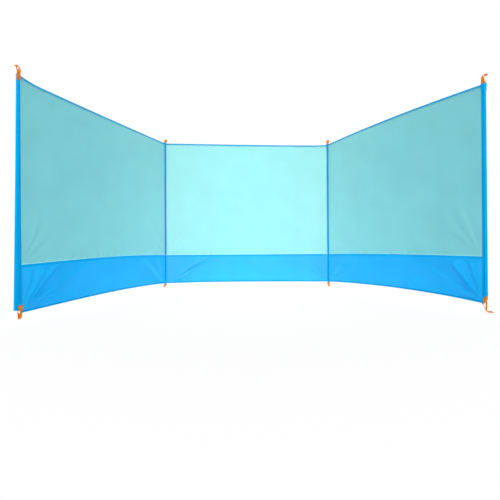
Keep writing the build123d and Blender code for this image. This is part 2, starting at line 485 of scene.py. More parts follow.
def stitches(name: str, rows: Iterable[ThreadRow], finish: Finish, thread: float = 0.45) -> Object:
    """Makes rows of lockstitch, each one thread that dips into the cloth between its stitches.

    Args:
        name: The piece's name.
        rows: The rows' points and the directions out of the cloth.
        finish: The thread's finish.
        thread: The thread's diameter in millimetres.

    Returns:
        The object.
    """
    proud, sunk = 0.1, -0.3
    bm = bmesh.new()
    for row in rows:
        last = len(row) - 1
        made = bmesh.ops.create_grid(bm, x_segments=last, y_segments=THREAD_SIDES, size=0.5)
        for vert in made["verts"]:
            i = round((vert.co.x + 0.5) * last)
            angle = math.tau * (vert.co.y + 0.5)
            point, outward = row[i]
            run = (row[min(last, i + 1)][0] - row[max(0, i - 1)][0]).normalized()
            radius = 0.0 if i in (0, last) else thread / 2
            lift = proud if i % STATIONS_PER_STITCH else sunk
            side = run.cross(outward) * (radius * math.sin(angle))
            vert.co = (point + outward * (lift + radius * math.cos(angle)) + side) * MM
    bmesh.ops.remove_doubles(bm, verts=bm.verts, dist=2e-6)
    bmesh.ops.recalc_face_normals(bm, faces=bm.faces)
    return link(bm, name, finish.material)


@dataclass(frozen=True)
class Course:
    """A line across a bay's cloth, such as its hem.

    Attributes:
        level: Height at the near pole.
        climb: How much higher it is at the far pole.
        bow: How far it leaves the straight line at its deepest, up if positive.
        lean: The share of the bay at which it is deepest.
        lift: How far it turns up beside the far pole.
        lift_from: The share of the bay at which it starts to turn up.
        lift_curve: How late it turns up from there.
    """

    level: float
    climb: float = 0.0
    bow: float = 0.0
    lean: float = 0.5
    lift: float = 0.0
    lift_from: float = 0.926
    lift_curve: float = 1.35

    def height(self, share: float) -> float:
        """Reads the line.

        Args:
            share: How far along the bay, from 0 to 1.

        Returns:
            The height in millimetres.
        """
        power = (1.0 - self.lean) / self.lean
        deepest = self.lean * (1.0 - self.lean) ** power
        share = min(1.0, max(0.0, share))
        turned = (max(0.0, share - self.lift_from) / (1.0 - self.lift_from)) ** self.lift_curve
        bowed = self.bow * share * (1.0 - share) ** power / deepest
        return self.level + self.climb * share + bowed + self.lift * turned


@dataclass(frozen=True)
class FanFolds:
    """Folds that fan out from one corner, as in cloth pulled at that corner.

    Attributes:
        x: The corner's distance from the near pole.
        z: The corner's height.
        towards: 1 if the folds run away from the near pole, -1 if towards it.
        creases: (angle above the level in degrees, height) rows.
        grow: The distance over which a fold comes up.
        reach: The distance at which it has died out.
        swell: What every height is multiplied by.
        fade_from: The share of the reach from which it dies out.
        wander: How far a fold wanders from its line, in degrees.
    """

    x: float
    z: float
    towards: int
    creases: tuple[tuple[float, float], ...]
    grow: float
    reach: float
    swell: float = 4.3
    fade_from: float = 0.45
    wander: float = 2.2

    def depth(self, x: float, z: float) -> float:
        """How far the cloth stands forward.

        Args:
            x: The distance along the bay.
            z: The height.

        Returns:
            The depth in millimetres.
        """
        across, rise = (x - self.x) * self.towards, z - self.z
        distance = math.hypot(across, rise)
        if distance < 1.0:
            return 0.0
        wander = self.wander * noise.noise(Vector((distance * 0.008, self.x * 0.01, self.z * 0.02)))
        angle = math.degrees(math.atan2(rise, across)) + wander
        gone = smooth(self.fade_from * self.reach, self.reach, distance)
        fade = smooth(0.0, self.grow, distance) * (1.0 - gone)
        return between(self.creases, angle) * fade * self.swell


@dataclass(frozen=True)
class Puckers:
    """Small gathers along a seam.

    Attributes:
        height: How far they stand proud.
        pitch: Their spacing along the seam.
        reach: How far from the seam they die out.
        seed: Which gathers they are.
        lean: How far they lean towards the near pole for each millimetre away from the seam.
    """

    height: float
    pitch: float
    reach: float
    seed: float
    lean: float = 0.0

    def depth(self, x: float, away: float) -> float:
        """How far the cloth stands forward.

        Args:
            x: The distance along the seam.
            away: The distance away from it.

        Returns:
            The depth in millimetres.
        """
        if away >= self.reach:
            return 0.0
        x += self.lean * away
        length = 0.35 + 1.3 * abs(noise.noise(Vector((x / self.pitch / 2.3, self.seed + 7.0, 0.0))))
        wave = noise.noise(Vector((x / self.pitch, self.seed, away / self.reach * 0.4)))
        fade = smooth(0.0, 4.0, away) * (1.0 - smooth(0.0, self.reach * length, away))
        return 2.0 * self.height * wave * fade


@dataclass(frozen=True)
class Billow:
    """The broad unevenness of cloth held by its edges: its height, its spread and its own seed."""

    height: float
    spread: float
    seed: float

    def depth(self, x: float, z: float) -> float:
        """How far the cloth stands forward, at a distance along the bay and a height."""
        return self.height * noise.noise(Vector((x / self.spread, z / self.spread * 0.8, self.seed)))


@dataclass(frozen=True)
class SlackSleeve:
    """Sizes of an end pole's sleeve, which widens towards the ground.

    Attributes:
        tail_top: The seam strip's reach from the pole's axis, at the top.
        tail_bottom: The same at the bottom.
        nose_top: The slack cloth's reach, away from the bay, at the top.
        nose_bottom: The same at the bottom.
        tail_rise: How far the lower end is cut away at the seam strip.
        nose_rise: The same at the slack side, which a curve joins to it.
        radius: Its radius round the pole.
        head: The level of its upper end.
        mouth: Half the width to which webbing holds its ends open, or 0.
        mouth_depth: Half the depth of such a mouth.
        opens_below: How far below the head it starts to open, and is open.
        opens_above: How far above the cut its front is open, and is closed again.
        stitch_insets: From the strip's edge to each line of its stitches.
    """

    tail_top: float
    tail_bottom: float
    nose_top: float
    nose_bottom: float
    tail_rise: float
    nose_rise: float
    radius: float
    head: float = SLEEVE_TOP
    mouth: float = 0.0
    mouth_depth: float = 8.9
    opens_below: tuple[float, float] = (38.0, 18.0)
    opens_above: tuple[float, float] = (4.0, 34.0)
    stitch_insets: tuple[float, float] = (1.4, 2.8)

    def share(self, z: float) -> float:
        """How far up the sleeve a height is, from 0 to 1."""
        return max(0.0, (z - SLEEVE_BOTTOM) / (SLEEVE_TOP - SLEEVE_BOTTOM))

    def tail(self, z: float) -> float:
        """How far the seam strip reaches from the pole's axis towards the bay."""
        return self.tail_bottom + (self.tail_top - self.tail_bottom) * self.share(z) ** 0.6

    def nose(self, z: float) -> float:
        """How far the slack cloth reaches from the pole's axis, away from the bay."""
        return self.nose_bottom + (self.nose_top - self.nose_bottom) * self.share(z) ** 0.8

    def opened(self, z: float, side: float) -> float:
        """How far webbing holds the sleeve open.

        Args:
            z: The height.
            side: 1 for the front face, -1 for the back.

        Returns:
            A share from 0 to 1.
        """
        start, end = (self.head - below for below in self.opens_below)
        low = 1.0 - smooth(*self.opens_above, z - SLEEVE_BOTTOM - self.nose_rise) if side > 0.0 else 0.0
        return smooth(start, end, z) + low

    def low(self, away: float) -> float:
        """The level of the slanted lower end, at a distance from the pole's axis away from the bay."""
        across = max(0.0, min(1.0, (away + self.tail_bottom) / (self.tail_bottom + self.nose_bottom)))
        return SLEEVE_BOTTOM + self.tail_rise + (self.nose_rise - self.tail_rise) * across ** 0.5


@dataclass(frozen=True)
class Bay:
    """One bay of cloth between two poles, and every piece sewn to it."""

    name: str
    body: str
    corner: Vector
    along: Vector
    front: Vector
    top: Course
    seam: Course
    hem: Course
    held_by: tuple[str, str]
    skirt_folds: tuple[FanFolds, ...]
    sheer_folds: tuple[FanFolds, ...]
    seed: float
    sleeve: SlackSleeve | None = None

    def far(self, z: float, tucked: float = 0.0) -> float:
        """Where the cloth ends, in millimetres from the near pole's axis.

        Args:
            z: The height.
            tucked: How far the cloth goes in between the sleeve's two layers.

        Returns:
            The distance along the bay.
        """
        if self.sleeve is None:
            return BAY_WIDTH - CLOTH_NEAR
        return BAY_WIDTH - self.sleeve.tail(z) - SEW_GAP + tucked

    def place(self, x: float, z: float, out: float) -> Vector:
        """A point in millimetres, from its distance along, its height and how far it stands forward."""
        return self.corner + self.along * x + UP * z + self.front * out

    def free(self, x: float, z: float, near: float = 60.0, far: float = 60.0) -> float:
        """How free the cloth is: 0 where poles hold it, 1 past the given distances from them."""
        return smooth(0.0, near, x - CLOTH_NEAR) * smooth(0.0, far, self.far(z) - x)

    def sheer_depth(self, x: float, z: float) -> float:
        """How far the sheer panel stands forward.

        Args:
            x: The distance along the bay.
            z: The height.

        Returns:
            The depth in millimetres.
        """
        share = x / BAY_WIDTH
        above, below = z - self.seam.height(share), self.top.height(share) - z
        broad = Billow(height=7.0, spread=330.0, seed=self.seed).depth(x, z)
        broad += Billow(height=1.2, spread=90.0, seed=self.seed + 5.0).depth(x, z)
        broad *= smooth(0.0, 90.0, above) * smooth(0.0, 60.0, below)
        gathers = Puckers(height=3.0, pitch=13.0, reach=60.0, seed=self.seed, lean=0.7).depth(x, above)
        gathers += Puckers(height=0.8, pitch=16.0, reach=30.0, seed=self.seed + 3.0).depth(x, below)
        folds = sum(fold.depth(x, z) for fold in self.sheer_folds)
        folds *= smooth(0.0, 25.0, above) * smooth(0.0, 40.0, below)
        return (broad + folds + gathers) * self.free(x, z)

    def skirt_depth(self, x: float, z: float) -> float:
        """How far the skirt stands forward, which is the lap's and the hem's depth too.

        Args:
            x: The distance along the bay.
            z: The height.

        Returns:
            The depth in millimetres.
        """
        below = self.seam.height(x / BAY_WIDTH) - LAP_HEIGHT - z
        folds = sum(fold.depth(x, z) for fold in self.skirt_folds) * smooth(0.0, 20.0, below)
        broad = Billow(height=2.5, spread=160.0, seed=self.seed + 11.0).depth(x, z) * smooth(0.0, 55.0, below)
        gathers = Puckers(height=0.9, pitch=15.0, reach=30.0, seed=self.seed + 17.0).depth(x, below)
        return (folds + broad * self.free(x, z) + gathers) * self.free(x, z, near=30.0, far=22.0)

    def sheer_panel(self) -> Object:
        """Builds the sheer panel from just inside the lap to just inside the top binding.

        Returns:
            The panel.
        """
        def spot(u: float, v: float) -> Placed:
            """The cloth at two shares of its grid, whose rows are closer near the seam."""
            low, high = self.seam.height(u) - SHEER_TUCK, self.top.height(u) - EDGE_TUCK
            z = low + (high - low) * (0.35 * v + 0.65 * v * v)
            x = CLOTH_NEAR + (self.far(z, INTO_STRIP) - CLOTH_NEAR) * u
            return self.place(x, z, self.sheer_depth(x, z)), (x, z - self.seam.height(u))

        return woven_sheet(f"{self.name}_sheer_panel", (236, 70), spot, Finish.SHEER, SHEER_THICKNESS)

    def skirt_panel(self) -> Object:
        """Builds the skirt from just inside the hem to just inside the lap.

        Returns:
            The skirt.
        """
        def spot(u: float, v: float) -> Placed:
            """The cloth at two shares of its grid."""
            low, high = self.hem.height(u) + EDGE_TUCK, self.seam.height(u) - SKIRT_TUCK
            z = low + (high - low) * v
            x = CLOTH_NEAR + (self.far(z, INTO_STRIP) - CLOTH_NEAR) * u
            return self.place(x, z, self.skirt_depth(x, z)), (x, z)

        return woven_sheet(f"{self.name}_skirt_panel", (290, 50), spot, Finish.SKIRT, CLOTH_THICKNESS)

    def folded_strip(
        self,
        name: str,
        edge: Course,
        leg: float,
        depth: Callable[[float, float], float],
        finish: Finish,
    ) -> Object:
        """Builds a strip of cloth folded over an edge.

        Args:
            name: The strip's name.
            edge: The folded edge's course.
            leg: The height of both legs, down from the edge if negative.
            depth: How far the cloth that it holds stands forward.
            finish: Its finish.

        Returns:
            The strip.
        """
        height, upward = abs(leg), math.copysign(1.0, leg)
        round_fold, puff_height = 0.22, 0.22

        def spot(u: float, v: float) -> Placed:
            """The cloth at two shares of its grid, which goes up the back and down the front."""
            lap = abs(2.0 * v - 1.0)
            side = 1.0 if v > 0.5 else -1.0
            turn = min(1.0, lap / round_fold) * math.pi / 2
            straight = height * max(0.0, lap - round_fold) / (1.0 - round_fold)
            into = straight + HALF_FOLD * (1.0 - math.cos(turn))
            uneven = 0.6 + 0.8 * noise.noise(Vector((u * 90.0, v * 3.0, self.seed)))
            puff = puff_height * math.sin(math.pi * min(1.0, into / height)) * uneven
            base = edge.height(u)
            z = base + upward * into
            reach = self.far(base) if self.sleeve else BAY_WIDTH - FOLD_NEAR
            x = FOLD_NEAR + (reach - FOLD_NEAR) * u
            out = depth(x, z) + side * (HALF_FOLD * math.sin(turn) + puff)
            return self.place(x, z, out), (x, 2.0 * height * v)

        return woven_sheet(f"{self.name}_{name}", (220, 12), spot, finish, CLOTH_THICKNESS)

    def stitch_rows(self) -> list[ThreadRow]:
        """Finds where the bay's stitches lie.

        Returns:
            A row for each line of stitches, on both faces of every folded edge.
        """
        rows, near_gap, far_gap, thread_lift = [], 2.0, 3.0, 0.37
        for course, offset, depth in (
            (self.top, -4.9, self.sheer_depth),
            (self.hem, 4.9, self.skirt_depth),
            (self.seam, -1.9, self.skirt_depth),
            (self.seam, -6.4, self.skirt_depth),
        ):
            for side in (1.0, -1.0):
                row = []
                x = FOLD_NEAR + near_gap
                while x < self.far(course.height(x / BAY_WIDTH)) - far_gap:
                    z = course.height(x / BAY_WIDTH) + offset
                    out = depth(x, z) + side * (HALF_FOLD + thread_lift)
                    row.append((self.place(x, z, out), self.front * side))
                    x += STITCH_STATION
                rows.append(row)
        return rows

    def dress(self) -> None:
        """Builds the bay's pieces."""
        lap_course = replace(self.seam, level=self.seam.level - LAP_HEIGHT)
        sheer = enrol(self.sheer_panel(), self.body, Slot.SHEER, f"{self.name}_upper_panel")
        skirt = enrol(self.skirt_panel(), self.body, Slot.SKIRT, f"{self.name}_skirt")
        lap = self.folded_strip("seam_lap", lap_course, LAP_HEIGHT, self.skirt_depth, Finish.LAP)
        enrol(lap, self.body, Slot.SKIRT)
        down = -EDGE_HEIGHT
        binding = self.folded_strip("top_edge_binding", self.top, down, self.sheer_depth, Finish.BINDING)
        enrol(binding, self.body, Slot.EDGE, f"{self.name}_top_binding")
        hem = self.folded_strip("bottom_edge_hem", self.hem, EDGE_HEIGHT, self.skirt_depth, Finish.HEM)
        enrol(hem, self.body, Slot.EDGE, f"{self.name}_bottom_hem")
        thread = stitches(f"{self.name}_stitches", self.stitch_rows(), Finish.BLUE_THREAD)
        enrol(thread, self.body, Slot.EDGE)


@dataclass(frozen=True)
class PoleSleeve:
    """A pole's sleeve, its two bands and its stitches."""

    name: str
    body: str
    foot: Vector
    along: Vector
    front: Vector
    seed: float
    slack: SlackSleeve | None = None

    def outline(self, share: float, z: float) -> tuple[float, float]:
        """The sleeve's outline at a height: round, or round in front and straight to the seam strip.

        Args:
            share: How far round, from 0 to 1.
            z: The height.

        Returns:
            The distance from the pole's axis away from the bay, and forward.
        """
        if self.slack is None:
            x, y = math.cos(math.tau * share), math.sin(math.tau * share)
            uneven = noise.noise(Vector((x * 1.3, y * 1.3, z * 0.012 + self.seed)))
            radius = SLEEVE_RADIUS - 0.3 + 0.25 * uneven
            return x * radius, y * radius
        tail, nose = self.slack.tail(z), self.slack.nose(z)
        radius, reach = self.slack.radius, tail - 1.0
        slope = math.asin(radius / math.hypot(reach, HALF_FOLD)) - math.atan2(HALF_FOLD, reach)
        side, sweep = (1.0, 2.0 * share) if share < 0.5 else (-1.0, 2.0 - 2.0 * share)
        x = -tail + (tail + nose) * (1.0 - math.cos(math.pi * sweep)) / 2.0
        if x >= 0.0:
            half = radius * max(0.0, 1.0 - (x / nose) ** 1.9) ** 0.7
        elif -x < radius * math.sin(slope):
            half = math.sqrt(radius * radius - x * x)
        else:
            half = HALF_FOLD + max(0.0, reach + x) * math.tan(slope)
        half *= 1.0 + 0.14 * noise.noise(Vector((x * 0.16, z * 0.006 + self.seed, side * 2.0)))
        if self.slack.mouth:
            boxy = self.slack.mouth_depth * max(0.0, 1.0 - (abs(x - 0.5) / self.slack.mouth) ** 6) ** 0.5
            half += (max(half, boxy) - half) * self.slack.opened(z, side)
        return x, side * half

    def place(self, away: float, out: float, z: float) -> Vector:
        """A point of the sleeve in millimetres."""
        return self.foot + self.along * away + self.front * out + UP * z

    def edge(self, end: End, share: float) -> float:
        """The level of one end of the sleeve.

        Args:
            end: Which end.
            share: How far round, from 0 to 1.

        Returns:
            The level in millimetres.
        """
        if self.slack is None:
            return SLEEVE_TOP if end is End.TOP else SLEEVE_BOTTOM
        return self.slack.head if end is End.TOP else self.slack.low(self.outline(share, SLEEVE_BOTTOM)[0])

    def tube(self) -> Object:
        """Builds the sleeve as one sheet wrapped round the pole.

        Returns:
            The sleeve.
        """
        def spot(u: float, v: float) -> Placed:
            """The cloth at two shares of its grid, up the sleeve and round it."""
            low, high = self.edge(End.BOTTOM, v) + 0.3, self.edge(End.TOP, v) - 0.3
            z = low + (high - low) * u
            away, out = self.outline(v, z)
            return self.place(away, out, z), (z, SLEEVE_GIRTH * v)

        plain = self.slack is None
        cells = (150, 28 if plain else 44)
        name = f"{self.name}_sleeve_cloth"
        return woven_sheet(name, cells, spot, Finish.SLEEVE, CLOTH_THICKNESS, closed=plain)

    def band(self, end: End) -> Object:
        """Builds the doubled band at one end of the sleeve.

        Args:
            end: Which end.

        Returns:
            The band.
        """
        def spot(u: float, v: float) -> Placed:
            """The cloth at two shares of its grid, from the end inwards and round the sleeve."""
            z = self.edge(end, v) - end.value * (0.2 + BAND_HEIGHT * u)
            away, out = self.outline(v, z)
            if self.slack is None:
                grow = 1.0 + BAND_PROUD / SLEEVE_RADIUS
                return self.place(away * grow, out * grow, z), (z, SLEEVE_GIRTH * v)
            nudge = BAND_PROUD * smooth(-self.slack.tail(z), self.slack.nose(z), away)
            side = BAND_PROUD if v < 0.5 else -BAND_PROUD
            return self.place(away + nudge, out + side, z), (z, SLEEVE_GIRTH * v)

        name = f"{self.name}_sleeve_{end.name.lower()}_hem"
        return woven_sheet(name, (6, 44), spot, Finish.SLEEVE, BAND_THICKNESS, closed=self.slack is None)

    def ring(self, end: End) -> ThreadRow:
        """Finds where the stitches of one band lie.

        Args:
            end: Which end.

        Returns:
            The row.
        """
        row, last, gap, inset, thread_lift = [], 60, 0.03, 6.5, 0.8
        for step in range(last + 1):
            share = gap + (1.0 - 2.0 * gap) * step / last
            z = self.edge(end, share) - end.value * inset
            away, out = self.outline(share, z)
            outward = (self.along * away * 0.3 + self.front * out).normalized()
            row.append((self.place(away, out, z) + outward * thread_lift, outward))
        return row

    def column(self, inset: float, side: float) -> ThreadRow:
        """Finds where one line of the seam strip's stitches lies.

        Args:
            inset: Its distance from the strip's edge.
            side: 1 for the front face, -1 for the back.

        Returns:
            The row.
        """
        row, end_gap, thread_lift = [], 9.0, 0.36
        z = self.slack.low(-self.slack.tail_bottom) + end_gap
        while z < self.slack.head - end_gap:
            across = self.slack.tail(z) + self.slack.nose(z)
            share = math.acos(1.0 - 2.0 * inset / across) / math.tau
            out = abs(self.outline(share, z)[1]) + thread_lift
            row.append((self.place(inset - self.slack.tail(z), side * out, z), self.front * side))
            z += STITCH_STATION
        return row

    def dress(self) -> None:
        """Builds the sleeve's pieces."""
        tube = enrol(self.tube(), self.body, Slot.SLEEVE, f"{self.name}_sleeve")
        bands = [enrol(self.band(end), self.body, Slot.SLEEVE) for end in End]
        rows = [self.ring(end) for end in End]
        if self.slack is not None:
            rows += [self.column(inset, side) for inset in self.slack.stitch_insets for side in (1.0, -1.0)]
        thread = stitches(f"{self.name}_sleeve_stitches", rows, Finish.BLUE_THREAD)
        enrol(thread, self.body, Slot.SLEEVE)


@dataclass(frozen=True)
class WebbingLoop:
    """A loop of webbing at one end of a pole, with its own twist and curl.

    Attributes:
        stations: Points along it: how far each lies right of the pole's axis, behind it and
            above the ground, and the webbing's width in degrees from the right towards the back.
        tacked: Whether its bar tacks show.
    """

    name: str
    body: str
    foot: Vector
    stations: tuple[tuple[float, float, float, float], ...]
    tacked: bool = False
    width: float = 15.0
    thickness: float = 1.3
    steps: int = 14

    def path(self) -> list[tuple[Vector, Vector]]:
        """Follows the stations with a smooth line.

        Returns:
            Pairs of a point in millimetres and the direction of the webbing's width there.
        """
        found = []
        last = len(self.stations) - 1
        for i in range(last):
            four = [self.stations[min(last, max(0, i + k))] for k in (-1, 0, 1, 2)]
            for step in range(self.steps + (i == last - 1)):
                t = step / self.steps
                weights = (
                    -0.5 * t + t * t - 0.5 * t ** 3,
                    1.0 - 2.5 * t * t + 1.5 * t ** 3,
                    0.5 * t + 2.0 * t * t - 1.5 * t ** 3,
                    -0.5 * t * t + 0.5 * t ** 3,
                )
                *place, degrees = (sum(w * s[k] for w, s in zip(weights, four)) for k in range(4))
                turn = math.radians(degrees)
                found.append((self.foot + Vector(place), Vector((math.cos(turn), math.sin(turn), 0.0))))
        return found

    def strip(self) -> Object:
        """Builds the webbing with rounded edges.

        Returns:
            The strip.
        """
        path = self.path()
        lengths = [0.0]
        for (a, _), (b, _) in zip(path, path[1:]):
            lengths.append(lengths[-1] + (b - a).length)
        last = len(path) - 1

        def spot(u: float, v: float) -> Placed:
            """The webbing at two shares of its grid, a little hollow across."""
            i = round(u * last)
            point, width = path[i]
            tangent = (path[min(last, i + 1)][0] - path[max(0, i - 1)][0]).normalized()
            width = (width - tangent * width.dot(tangent)).normalized()
            across = (v - 0.5) * self.width
            hollow = 0.25 * (1.0 - (2.0 * v - 1.0) ** 2)
            return point + width * across + tangent.cross(width) * hollow, (lengths[i], across)

        piece = woven_sheet(f"{self.name}_webbing", (last, 8), spot, Finish.WEBBING, self.thickness)
        rounding = piece.modifiers.new("edges", "BEVEL")
        rounding.width = EDGE_ROUNDING * MM
        rounding.segments = 2
        rounding.limit_method = "ANGLE"
        rounding.angle_limit = math.radians(50.0)
        return piece

    def tack_rows(self) -> list[ThreadRow]:
        """Finds the zigzag bar tacks across both ends of the webbing.

        Returns:
            A row for each tack, on the side away from the pole.
        """
        path = self.path()
        rows, turns, pitch = [], 24, 0.5
        for index in (2, 5, -3, -6):
            point, width = path[index]
            tangent = (path[index][0] - path[index - 1][0]).normalized()
            width = (width - tangent * width.dot(tangent)).normalized()
            normal = tangent.cross(width)
            away = point - self.foot
            away.z = 0.0
            if normal.dot(away) < 0.0:
                normal.negate()
            face = point + normal * (self.thickness / 2 + 0.12)
            rows.append([
                (face + width * ((k - turns / 2) * pitch) + tangent * (pitch if k % 2 else -pitch), normal)
                for k in range(turns + 1)
            ])
        return rows

    def dress(self) -> None:
        """Builds the loop, with its tacks where they show."""
        enrol(self.strip(), self.body, Slot.WEBBING, self.name)
        if self.tacked:
            tacks = stitches(f"{self.name}_tacks", self.tack_rows(), Finish.ORANGE_THREAD, thread=0.5)
            enrol(tacks, self.body, Slot.WEBBING)


@dataclass(frozen=True)
class PhotoCamera:
    """The camera, found from the corners of the cloth in the photograph.

    Attributes:
        place: Its place in millimetres.
        yaw: Its turn to the right, in radians, as its pitch up and its roll are.
        focal: The focal length in pixels of a square picture.
        horizon: The row of the picture that the lens points at.
    """

    place: Vector
    yaw: float
    pitch: float
    roll: float
    focal: float
    horizon: float
    pixels: float = 500.0

    def build(self) -> None:
        """Makes the scene's camera."""
        level = Vector((math.sin(self.yaw), math.cos(self.yaw), 0.0))
        right = Vector((math.cos(self.yaw), -math.sin(self.yaw), 0.0))
        forward = level * math.cos(self.pitch) + UP * math.sin(self.pitch)
        lift = right.cross(forward)
        right, lift = (
            right * math.cos(self.roll) - lift * math.sin(self.roll),
            lift * math.cos(self.roll) + right * math.sin(self.roll),
        )
        data = bpy.data.cameras.new("photo_camera")
        data.lens = self.focal * data.sensor_width / self.pixels
        data.shift_y = (self.horizon - self.pixels / 2) / self.pixels
        data.clip_start, data.clip_end = 0.05, 60.0
        camera = bpy.data.objects.new("photo_camera", data)
        bpy.context.scene.collection.objects.link(camera)
        turned = Matrix((right, lift, -forward)).transposed().to_4x4()
        camera.matrix_world = Matrix.Translation(self.place * MM) @ turned
        bpy.context.scene.camera = camera


@dataclass(frozen=True)
class SoftLight:
    """A large soft lamp, with its place, target and size in millimetres."""

    name: str
    place: tuple[float, float, float]
    target: tuple[float, float, float]
    size: tuple[float, float]
    power: float
    spread: float

    def build(self) -> None:
        """Makes the lamp."""
        place, target = Vector(self.place), Vector(self.target)
        data = bpy.data.lights.new(self.name, "AREA")
        data.shape = "RECTANGLE"
        data.size, data.size_y = (s * MM for s in self.size)
        data.energy = self.power
        data.spread = math.radians(self.spread)
        lamp = bpy.data.objects.new(self.name, data)
        bpy.context.scene.collection.objects.link(lamp)
        lamp.location = place * MM
        lamp.rotation_mode = "QUATERNION"
        lamp.rotation_quaternion = (target - place).to_track_quat("-Z", "Y")


@dataclass(frozen=True)
class Studio:
    """The pale floor, the white surroundings and the lamps."""

    floor_level: float
    middle: tuple[float, float]
    shadow_fades: tuple[float, float]
    whiteness: float
    ambient: float
    lamps: tuple[SoftLight, ...]

    def floor(self) -> None:
        """Makes a white floor that shows as white and keeps part of the object's shadow."""
        bm = bmesh.new()
        bmesh.ops.create_grid(bm, x_segments=1, y_segments=1, size=12.0)
        bmesh.ops.translate(bm, verts=bm.verts, vec=(0.5, 0.0, self.floor_level * MM))
        material, tree = new_tree("white_floor")
        matt = add_node(tree, "BsdfDiffuse", {"Color": linear("#F6F6F6")})
        glow = add_node(tree, "Emission", {"Color": linear("#FFFFFF"), "Strength": 1.0})
        seen = add_node(tree, "LightPath").outputs["Is Camera Ray"]
        here = add_node(tree, "TexCoord").outputs["Object"]
        middle = [c * MM for c in (*self.middle, self.floor_level)]
        away = add_node(tree, "VectorMath", {0: here, 1: middle}, operation="DISTANCE")
        start, gone = (reach * MM for reach in self.shadow_fades)
        fade = {"Value": away.outputs["Value"], 1: start, 2: gone, 3: self.whiteness, 4: 1.0}
        white = add_node(tree, "MapRange", fade).outputs[0]
        share = add_node(tree, "Math", {0: seen, 1: white}, operation="MULTIPLY").outputs[0]
        mixed = add_node(tree, "MixShader", {0: share, 1: matt.outputs[0], 2: glow.outputs[0]})
        add_node(tree, "OutputMaterial", {"Surface": mixed.outputs[0]})
        link(bm, "studio_floor", material)

    def surroundings(self) -> None:
        """Makes the world: soft white light, and pure white where it is seen."""
        world = bpy.data.worlds.new("studio")
        bpy.context.scene.world = world
        world.use_nodes = True
        tree = world.node_tree
        tree.nodes.clear()
        soft, white = (
            add_node(tree, "Background", {"Color": linear("#FFFFFF"), "Strength": strength}).outputs[0]
            for strength in (self.ambient, 1.0)
        )
        path = add_node(tree, "LightPath")
        seen = path.outputs["Is Camera Ray"]
        for kind in ("Is Glossy Ray", "Is Transmission Ray"):
            either = add_node(tree, "Math", {0: seen, 1: path.outputs[kind]}, operation="MAXIMUM")
            seen = either.outputs[0]
        mixed = add_node(tree, "MixShader", {0: seen, 1: soft, 2: white})
        add_node(tree, "OutputWorld", {"Surface": mixed.outputs[0]})

    def build(self) -> None:
        """Makes the floor, the surroundings and every lamp."""
        self.floor()
        self.surroundings()
        for lamp in self.lamps:
            lamp.build()


ALONG_MIDDLE = Vector((1.0, 0.0, 0.0))
FRONT_MIDDLE = Vector((0.0, -1.0, 0.0))
ALONG_LEFT = Vector((-math.cos(WING_TURN), -math.sin(WING_TURN), 0.0))
ALONG_RIGHT = Vector((math.cos(WING_TURN), -math.sin(WING_TURN), 0.0))
FRONT_LEFT = Vector((math.sin(WING_TURN), -math.cos(WING_TURN), 0.0))
FRONT_RIGHT = Vector((-math.sin(WING_TURN), -math.cos(WING_TURN), 0.0))
LEFT_CORNER = Vector((0.0, 0.0, 0.0))
RIGHT_CORNER = Vector((BAY_WIDTH, 0.0, 0.0))
LEFT_END = LEFT_CORNER + ALONG_LEFT * BAY_WIDTH
RIGHT_END = RIGHT_CORNER + ALONG_RIGHT * BAY_WIDTH

LEFT_SLACK = SlackSleeve(
    tail_top=9.0, tail_bottom=19.0, nose_top=6.4, nose_bottom=17.4,
    tail_rise=0.0, nose_rise=11.0, radius=6.1,
)
RIGHT_SLACK = SlackSleeve(
    tail_top=9.6, tail_bottom=15.0, nose_top=10.4, nose_bottom=7.4,
    tail_rise=11.0, nose_rise=43.0, radius=6.2, head=905.0, mouth=9.2,
)

